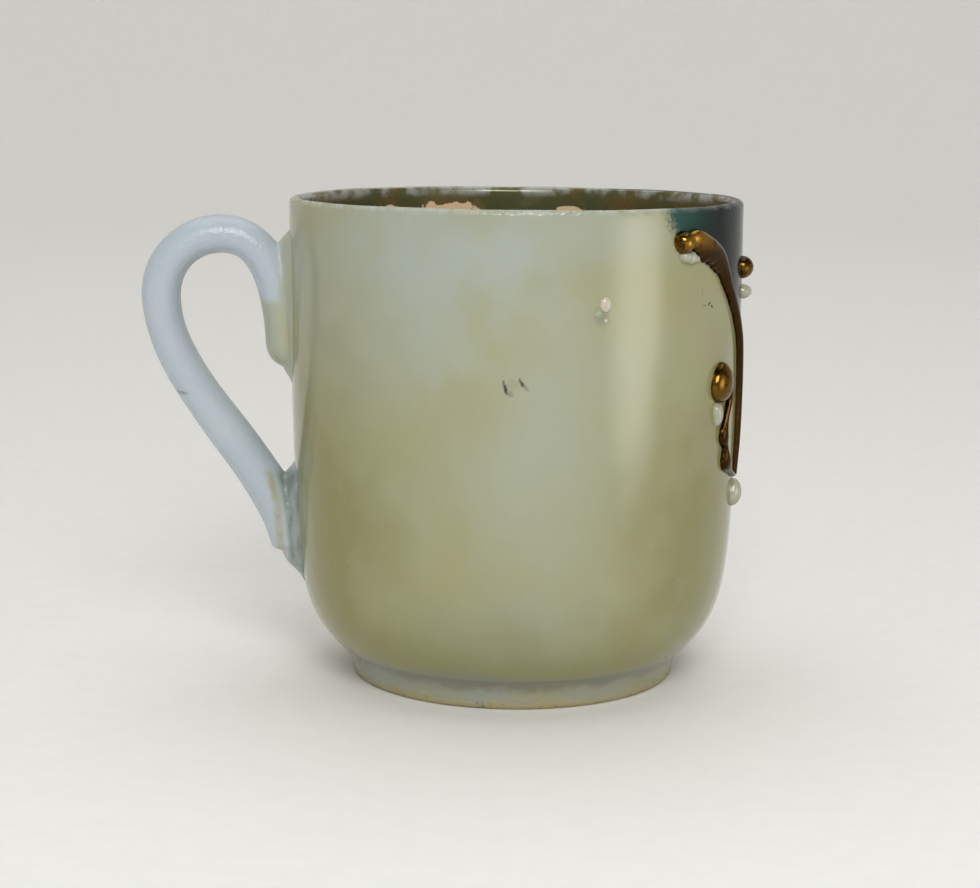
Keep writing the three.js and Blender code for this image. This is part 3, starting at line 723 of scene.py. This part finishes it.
def drop_enamel(name, body, veil):
    """Thick glossy enamel, melted to a round drop and clouded with a veil of a second colour."""
    material, shader, add, place = start_material(name)
    colour = paint(add, body, [(wander(add, place, 1.2, 0, 0.5), veil)])
    fill(shader, {"Base Color": colour, "Roughness": wander(add, place, 1, 0.04, 0.1), "IOR": 1.55,
                  "Normal": fired_surface(add, place, 0.02, 0.003)})
    return material


def seamless_paper(settings):
    """Matt paper of the floor and backdrop, plain, with the least trace of tooth."""
    material, shader, add, place = start_material("seamless_paper")
    shade = paint(add, settings.floor, [(wander(add, place, 3, 0, 0.04), settings.tooth)])
    fill(shader, {"Base Color": shade, "Roughness": 0.6, "Specular IOR Level": 0.3})
    return material


# Pieces


class BuildBowl(bpy.types.Operator):
    """Turns the bowl: a thin shell with a rounded lip, glazed outside and banded inside."""

    bl_idname = "demitasse.bowl"
    bl_label = "Bowl"

    CORNER = 0.03  # share of the shoulder's curve that the rounded edge over the foot takes
    EDGE = 0.8  # how far that edge reaches in under the bowl
    FLOOR_RADIUS = 14

    def execute(self, context):
        sizes = context.scene.demitasse_bowl
        colours = context.scene.demitasse_colours
        wall = Wall(sizes)
        lip = sizes.lip_thickness / MM / 2
        outside = self.outside(wall, lip)
        points, faces = revolve(np.vstack((outside, self.inside(wall, lip, sizes))), SEGMENTS)
        points = self.stray(points, wall, sizes.wobble / MM)
        bowl = make_piece("bowl_glazed", points, faces, lustre_outside(colours, wall.rim), "pearl_lustre",
                          "cup_bowl")
        bowl.data.materials.append(lustre_inside(colours, wall.rim))
        inner_rows = np.zeros(len(faces), np.int32)
        inner_rows[(len(outside) - 1) * SEGMENTS:] = 1
        bowl.data.polygons.foreach_set("material_index", inner_rows)
        return {"FINISHED"}

    def outside(self, wall, lip):
        """Profile from the middle of the base up over the lip."""
        shoulder = bezier(wall.controls, 84)
        start = int(len(shoulder) * self.CORNER)
        edge = wall.base - self.EDGE
        rise = np.linspace(Wall.SHOULDER, wall.top - lip, 22)[1:-1]
        return np.vstack((
            np.column_stack((np.linspace(0, edge, 8)[:-1], np.full(7, wall.foot))),
            bend((edge, wall.foot), (wall.base, wall.foot), shoulder[start], 7),
            shoulder[start + 1:],
            np.column_stack((np.full(len(rise), wall.rim), rise)),
            arc((wall.rim - lip, wall.top - lip), lip, 0, 120, 9)))

    def inside(self, wall, lip, sizes):
        """Profile from the lip down to the middle of the floor."""
        floor = wall.foot + sizes.floor_thickness / MM
        inner = wall.controls[::-1] - (sizes.wall_thickness / MM, 0)
        inner[2, 1] = floor
        inner[3] = (self.FLOOR_RADIUS, floor)
        return np.vstack((
            arc((wall.rim - lip, wall.top - lip), lip, 135, 180, 4),
            np.linspace((wall.rim - 2 * lip, wall.top - lip), inner[0], 22)[1:-1],
            bezier(inner, 60),
            np.column_stack((np.linspace(self.FLOOR_RADIUS, 0, 8)[1:], np.full(7, floor)))))

    @staticmethod
    def stray(points, wall, wobble):
        """Lets wall and lip wander by a hair, as a fired cup does, more at the rim than at the foot."""
        angle = np.arctan2(points[:, 1], points[:, 0])
        high = np.clip(points[:, 2] / wall.top, 0, 1)
        radial = wobble * high * (np.sin(2 * angle + 0.6) + 0.4 * np.sin(3 * angle - 1.1))
        lip = wobble * high ** 8 * (np.sin(3 * angle + 1) + 0.5 * np.sin(11 * angle) - 1.5) * 0.6
        radius = np.maximum(np.hypot(points[:, 0], points[:, 1]), 1e-9)
        points[:, :2] *= (1 + radial / radius * (radius > 1))[:, None]
        points[:, 2] += lip
        return points


class BuildFoot(bpy.types.Operator):
    """Turns the foot ring, with glaze in the crease under the bowl and a worn lower edge."""

    bl_idname = "demitasse.foot"
    bl_label = "Foot ring"

    DRAFT = 0.4
    EDGE = 0.6
    FILLET = 1
    CREASE = 1.65  # from the bowl's edge back along its slope to the foot
    COVE = 1.1  # how far down the foot the glaze in the crease reaches
    LEAN = 0.15  # how far in the cove ends on the foot
    RUN_OUT = 0.55  # how far up the bowl the glaze reaches
    SINK = 0.03  # how deep in the bowl it ends
    LAP = 0.5  # how far in from the bowl's edge the ring's hidden top starts
    BURY = 0.25  # how far that top reaches up into the bowl
    WEAR = 0.03
    WORN_BELOW = 0.4

    def execute(self, context):
        sizes = context.scene.demitasse_bowl
        points, faces = revolve(self.profile(Wall(sizes), sizes), SEGMENTS, closed=True)
        angle = np.arctan2(points[:, 1], points[:, 0])
        worn = self.WEAR * (np.sin(9 * angle) + np.sin(23 * angle + 1) + np.sin(41 * angle + 2))
        points[:, 2] += np.clip(worn, 0, None) * (points[:, 2] < self.WORN_BELOW)
        make_piece("foot_ring_glazed", points, faces, foot_glaze(context.scene.demitasse_colours),
                   "foot_glaze", "foot_ring")
        return {"FINISHED"}

    def profile(self, wall, sizes):
        """Section of the ring, from its lower edge up the outside and down the inside."""
        slope = wall.controls[1] - wall.controls[0]
        slope /= np.linalg.norm(slope)
        crease = wall.controls[0] - self.CREASE * slope
        inward = self.SINK * np.array((-slope[1], slope[0]))
        run_out = wall.controls[0] + self.RUN_OUT * slope + inward
        top = wall.foot
        outer = sizes.foot_radius / MM
        inner = outer - sizes.foot_width / MM
        low_outer = outer - self.DRAFT
        low_inner = inner + self.DRAFT
        return np.vstack((
            (low_inner + self.EDGE, 0),
            arc((low_outer - self.EDGE, self.EDGE), self.EDGE, -90, 0, 8),
            bend(crease - (self.LEAN, self.COVE), crease, run_out, 24),
            (wall.base - self.LAP, top + self.BURY),
            (inner - self.FILLET, top + self.BURY),
            arc((inner - self.FILLET, top - self.FILLET), self.FILLET, 90, 0, 8),
            np.linspace((inner, top - self.FILLET), (low_inner, self.EDGE), 10)[1:],
            arc((low_inner + self.EDGE, self.EDGE), self.EDGE, 180, 270, 8)[1:-1]))


# The handle's centre line in the plane of the loop, as x and z: up the tongue, over the crown, round the
# knuckle, down the leg to the heel. Each row is one cubic curve
HANDLE_CURVES = (
    ((-27.72, 37.6), (-27.72, 48.4), (-30.15, 53.5), (-35.3, 53.5)),
    ((-35.3, 53.5), (-39.28, 53.5), (-42.4, 50.33), (-42.4, 46.3)),
    ((-42.4, 46.3), (-42.4, 41.35), (-39.66, 36.87), (-36.18, 31.98)),
    ((-36.18, 31.98), (-32.91, 27.38), (-27.3, 20.4), (-26.95, 15.1)))
TONGUE_ROUND = 3
HEEL_ROUND = 1.2
NICK = (-40.2, -1.6, 34.7)
NICK_SIZE = (1.5, 1.5, 0.32)
NICK_PUSH = (0.128, 0.08, 0)
NICK_GREY = (1.4, 1.4, 0.25)
# Slip at both ends of the handle: height over the table, width and thickness as shares of the fullest
UPPER_SLIP = ((54.1, 0.2, 0.01), (53.7, 0.5, 0.16), (53, 0.8, 0.5), (51.5, 0.94, 0.8), (47, 1, 0.88),
              (42, 1, 0.8), (38.6, 0.92, 0.7), (37.2, 0.74, 0.45), (36.2, 0.48, 0.16), (35.3, 0.2, 0.01))
LOWER_SLIP = ((26.2, 0.22, 0.01), (25.6, 0.52, 0.15), (24.8, 0.8, 0.5), (23, 0.98, 0.95), (19, 1.04, 1.05),
              (15.5, 1.02, 1.1), (14, 0.9, 0.96), (13, 0.74, 0.56), (12.2, 0.56, 0.26), (11.5, 0.4, 0.1),
              (10.9, 0.2, 0.01))


class BuildHandle(bpy.types.Operator):
    """Rolls the loop handle and melts it into its slip at both ends."""

    bl_idname = "demitasse.handle"
    bl_label = "Handle"

    GRAIN = 0.17
    ROUNDS = 22  # of smoothing, which set the fillets' size

    def execute(self, context):
        sizes = context.scene.demitasse_handle
        wall = Wall(context.scene.demitasse_bowl)
        parts = [self.loop(sizes), self.slip(wall, UPPER_SLIP, sizes), self.slip(wall, LOWER_SLIP, sizes)]
        points, faces = melt(parts, self.GRAIN, self.ROUNDS)
        make_piece("handle_glazed", self.dent(points), faces, handle_glaze(context.scene.demitasse_colours),
                   "clear_glaze", "handle", "upper_luting", "lower_luting")
        return {"FINISHED"}

    @staticmethod
    def loop(sizes):
        """The rolled handle, slightly uneven, with rounded ends."""
        runs = [bezier(row, 30)[:-1] for row in HANDLE_CURVES]
        line = smooth_line(np.vstack((*runs, HANDLE_CURVES[-1][-1:])), 220)
        share = np.linspace(0, 1, len(line))
        whole = np.hypot(*np.diff(line, axis=0).T).sum()
        short = np.maximum(1 - share * whole / TONGUE_ROUND, 1 - (1 - share) * whole / HEEL_ROUND)
        round_end = np.sqrt(np.clip(1 - np.clip(short, 0, 1) ** 2, 0.02, 1))
        to_heel = smoothstep(0.5, 1, share)
        roll = 1 + 0.012 * np.sin(share * 19) + 0.008 * np.sin(share * 43 + 1)
        thick = (sizes.loop_thickness + (sizes.heel_thickness - sizes.loop_thickness) * to_heel) / MM
        wide = (sizes.loop_width + (sizes.heel_width - sizes.loop_width) * to_heel) / MM
        angles = np.linspace(0, 2 * math.pi, 48, endpoint=False)
        halves = thick * roll * round_end / 2
        sides = wide * round_end / 2
        rings = []
        for (x, z), (run, rise), half, side in zip(line, headings(line), halves, sides):
            out = half * np.cos(angles)
            rings.append(np.column_stack((x + rise * out, side * np.sin(angles), z - run * out)))
        return loft(rings)

    @staticmethod
    def slip(wall, rows, sizes):
        """Slip squeezed out on the wall behind the handle, with hollow flanks that run out on the wall."""
        rows = np.asarray(rows, float)
        back = np.full(len(rows), math.pi * wall.rim)
        half_width = rows[:, 1] * sizes.slip_width / MM / 2
        thickness = rows[:, 2] * sizes.slip_thickness / MM
        line = smooth_line(np.column_stack((back, rows[:, 0], half_width, thickness)), 110)
        return relief(wall, line, torn=0.012, flank=1.4, sections=48)

    @staticmethod
    def dent(points):
        """Presses a short nick across the leg."""
        away = (points - np.array(NICK)) / NICK_SIZE
        share = smoothstep(1, 0.2, np.linalg.norm(away, axis=1))
        return points + share[:, None] * NICK_PUSH


# Left half of the front ornament: across, height, and half width and relief as shares of the fullest
SCROLL_LINE = ((24.4, 54.3, 0.6, 0.75), (23.2, 54.3, 0.9, 1), (21.8, 53.7, 1, 1), (20.2, 52.9, 1, 1),
               (18.7, 52, 0.92, 0.95), (17.2, 50.5, 0.62, 0.85), (15.7, 48.6, 0.43, 0.75),
               (13.4, 46.1, 0.38, 0.68), (11.6, 43.9, 0.36, 0.64), (9.9, 41, 0.34, 0.62),
               (8.6, 36, 0.32, 0.6), (8.2, 30, 0.3, 0.56), (8.2, 25.4, 0.2, 0.4))
TENDRIL_LINE = ((14.8, 38.3, 0.6, 0.9), (13.7, 37.1, 0.65, 0.9), (13.8, 35.2, 0.75, 1), (14.8, 33, 0.7, 1),
                (15.1, 31, 2.3, 1.2), (14.5, 29.6, 0.9, 1), (14, 28, 2.9, 1.3), (12.6, 26.7, 1, 1),
                (9.8, 25.6, 0.6, 0.8))


class BuildScrolls(bpy.types.Operator):
    """Lays the gilt strokes of the front ornament on the wall."""

    bl_idname = "demitasse.scrolls"
    bl_label = "Gilt strokes"

    RELIEF = 0.7  # of the thin tendril

    def execute(self, context):
        sizes = context.scene.demitasse_ornament
        wall = Wall(context.scene.demitasse_bowl)
        # The strokes are painted dark brown below their upper ends: painted dark reflection, partly wear
        gold = gilding(context.scene.demitasse_colours, "gold_on_paste_painted_dark", 0.93)
        scroll = smooth_line(SCROLL_LINE, 150)
        scroll[:, 2] *= sizes.scroll_width / MM / 2
        scroll[:, 3] *= sizes.scroll_height / MM
        tendril = smooth_line(TENDRIL_LINE, 90)
        tendril[:, 2] *= sizes.tendril_width / MM / 2
        tendril[:, 3] *= self.RELIEF
        for node, line, crest, torn in (("upper_scroll", scroll, 0.3, 0.07), ("tendril", tendril, 0, 0.04)):
            make_pair("gilding", node, *relief(wall, line, crest, torn), gold)
        return {"FINISHED"}


# Drops of the front ornament: CAD node, across, height, width, length, relief, taper
GILT_DROPS = (("upper_bud", 25, 54.2, 2.7, 2.6, 1.5, 0), ("crown_bead", 6.4, 50.1, 2.6, 2.7, 1.35, 0),
              ("lower_bud", 16.5, 37.5, 4.2, 4.8, 1.5, 0.12))
ENAMEL_DROPS = (("crown_pearl", 5.1, 47.1, 1.6, 1.8, 1.2, 0.2),
                ("lower_drop", 17.2, 33.9, 1.45, 2.8, 0.9, -0.3),
                ("base_pearl", 8.2, 23.2, 2.2, 3.4, 1.2, 0.25))
# Drops that ran together under the upper bud: across, height, width, length, relief
PEARL_CLUSTER = ((24.6, 52.5, 1.7, 1.4, 0.9), (23.7, 52.4, 1.5, 1.5, 0.8), (22.8, 52.2, 1.2, 0.9, 0.55))


class BuildDrops(bpy.types.Operator):
    """Sets the gilt buds and the enamel drops on the wall."""

    bl_idname = "demitasse.drops"
    bl_label = "Buds and drops"

    GRAIN = 0.06
    ROUNDS = 4
    # Stray drop on the photographed side, and its droplet: across, height, width, length, relief, taper
    SPILLED = ((35.3, 47.7, 1.4, 1.7, 0.42, 0.1), (35.3, 45.9, 0.45, 0.55, 0.22, 0))

    def execute(self, context):
        colours = context.scene.demitasse_colours
        wall = Wall(context.scene.demitasse_bowl)
        # The buds are painted dark brown in part: painted dark reflection, partly wear
        gold = gilding(colours, "burnished_gold_on_paste", 0.6)
        white = drop_enamel("white_enamel", colours.enamel, colours.lustre)
        for rows, material, slot in ((GILT_DROPS, gold, "gilding"), (ENAMEL_DROPS, white, "enamel")):
            for seed, (node, *shape) in enumerate(rows):
                make_pair(slot, node, *drop(wall, *shape, seed), material)
        cluster = [drop(wall, *shape, seed=seed) for seed, shape in enumerate(PEARL_CLUSTER)]
        make_pair("enamel", "upper_pearl", *melt(cluster, self.GRAIN, self.ROUNDS), white)
        cream = drop_enamel("cream_enamel", colours.cream, colours.enamel)
        spilled = melt([drop(wall, *shape) for shape in self.SPILLED], self.GRAIN, self.ROUNDS)
        make_piece("enamel_spilled_drop", *spilled, cream, "enamel", "spilled_drop")
        return {"FINISHED"}


# Stage


class BuildStage(bpy.types.Operator):
    """Sets the paper sweep, the soft lamps and the camera."""

    bl_idname = "demitasse.stage"
    bl_label = "Stage"

    EYE = (-0.0276, -0.2625, 0.0722)
    AIM = (-0.00297, 0, 0.02792)
    ROLL = 0.47  # degrees
    LENS = 80.45
    # Lamps: name, place, width, height
    KEY_LAMP = ("key", (0, -0.5, 0.36), 0.26, 0.26)
    TOP_LAMP = ("top", (0, 0.3, 1.3), 1.4, 1.4)
    SIDE_CARD = ("side", (0.068, -0.061, 0.046), 0.06, 0.09)
    LAMPS_AIM = (0, 0, 0.03)
    # Floor and backdrop in millimetres: flat ground, a round bend, and the height
    FLAT = 800
    BEND = 500
    BACKDROP = 2000

    def execute(self, context):
        settings = context.scene.demitasse_stage
        self.sweep(settings)
        self.lamp(*self.KEY_LAMP, settings.key_power)
        self.card(settings.side_power)
        self.lamp(*self.TOP_LAMP, settings.top_power)
        self.surround(settings)
        self.camera(context.scene)
        context.scene.view_settings.view_transform = "Standard"
        return {"FINISHED"}

    def camera(self, scene):
        """The camera of the photograph."""
        data = bpy.data.cameras.new("camera")
        data.lens = self.LENS
        data.clip_start = 0.01
        camera = bpy.data.objects.new("camera", data)
        camera.location = self.EYE
        look = Vector(self.AIM) - Vector(self.EYE)
        camera.rotation_mode = "QUATERNION"
        camera.rotation_quaternion = (
            look.to_track_quat("-Z", "Y") @ Quaternion((0, 0, 1), math.radians(self.ROLL)))
        scene.collection.objects.link(camera)
        scene.camera = camera

    def sweep(self, settings):
        """A round floor that curves up into a backdrop on all sides."""
        bent = arc((self.FLAT, self.BEND), self.BEND, -90, 0, 24)
        profile = np.vstack(((0, 0), (300, 0), bent, (self.FLAT + self.BEND, self.BACKDROP)))
        sweep = make_object("sweep", *revolve(profile[::-1], 96), seamless_paper(settings))

    def lamp(self, name, place, width, height, watts):
        """A soft box that faces the cup."""
        data = bpy.data.lights.new(name, "AREA")
        data.shape = "RECTANGLE"
        data.size = width
        data.size_y = height
        data.energy = watts
        lamp = bpy.data.objects.new(name, data)
        lamp.location = place
        look = Vector(self.LAMPS_AIM) - Vector(place)
        lamp.rotation_euler = look.to_track_quat("-Z", "Y").to_euler()
        bpy.context.scene.collection.objects.link(lamp)
        return lamp

    def card(self, watts):
        """A card for the glaze to reflect, which gives no light of its own and fades out to its edges."""
        card = self.lamp(*self.SIDE_CARD, watts)
        card.visible_diffuse = False
        card.visible_camera = False
        card.data.use_nodes = True
        tree = card.data.node_tree
        add = partial(add_node, tree)
        span = add("NewGeometry", {}, out="Parametric")
        reach = oval_reach(add, span, (0.5, 0.4, 0), (0.5, 0.45, 1))
        fade = ease(add, reach, 1, 0.2, high=1.7)
        fill(tree.nodes["Emission"], {"Strength": fade})

    @staticmethod
    def surround(settings):
        """Even dim light from all round."""
        world = bpy.data.worlds.new("studio")
        bpy.context.scene.world = world
        world.use_nodes = True
        fill(world.node_tree.nodes["Background"], {"Color": settings.floor, "Strength": settings.surround})


class DemitassePanel(bpy.types.Panel):
    """Lists the settings and the pieces."""

    bl_idname = "VIEW3D_PT_demitasse"
    bl_label = "Demitasse"
    bl_space_type = "VIEW_3D"
    bl_region_type = "UI"
    bl_category = "Demitasse"

    def draw(self, context):
        for group in GROUPS:
            settings = getattr(context.scene, group)
            for name in settings.bl_rna.properties.keys():
                if name not in ("rna_type", "name"):
                    self.layout.prop(settings, name)
        for operator in OPERATORS:
            self.layout.operator(operator.bl_idname)


GROUPS = {
    "demitasse_bowl": BowlSettings,
    "demitasse_handle": HandleSettings,
    "demitasse_ornament": OrnamentSettings,
    "demitasse_colours": FinishColours,
    "demitasse_stage": StageSettings,
}
OPERATORS = (BuildBowl, BuildFoot, BuildHandle, BuildScrolls, BuildDrops, BuildStage)


def register():
    for kind in (*GROUPS.values(), *OPERATORS, DemitassePanel):
        bpy.utils.register_class(kind)
    for name, group in GROUPS.items():
        setattr(bpy.types.Scene, name, bpy.props.PointerProperty(type=group))


def unregister():
    for name in GROUPS:
        delattr(bpy.types.Scene, name)
    for kind in (DemitassePanel, *reversed(OPERATORS), *GROUPS.values()):
        bpy.utils.unregister_class(kind)


def main():
    register()
    for operator in OPERATORS:
        getattr(bpy.ops.demitasse, operator.bl_idname.split(".")[1])()


if __name__ == "__main__":
    main()
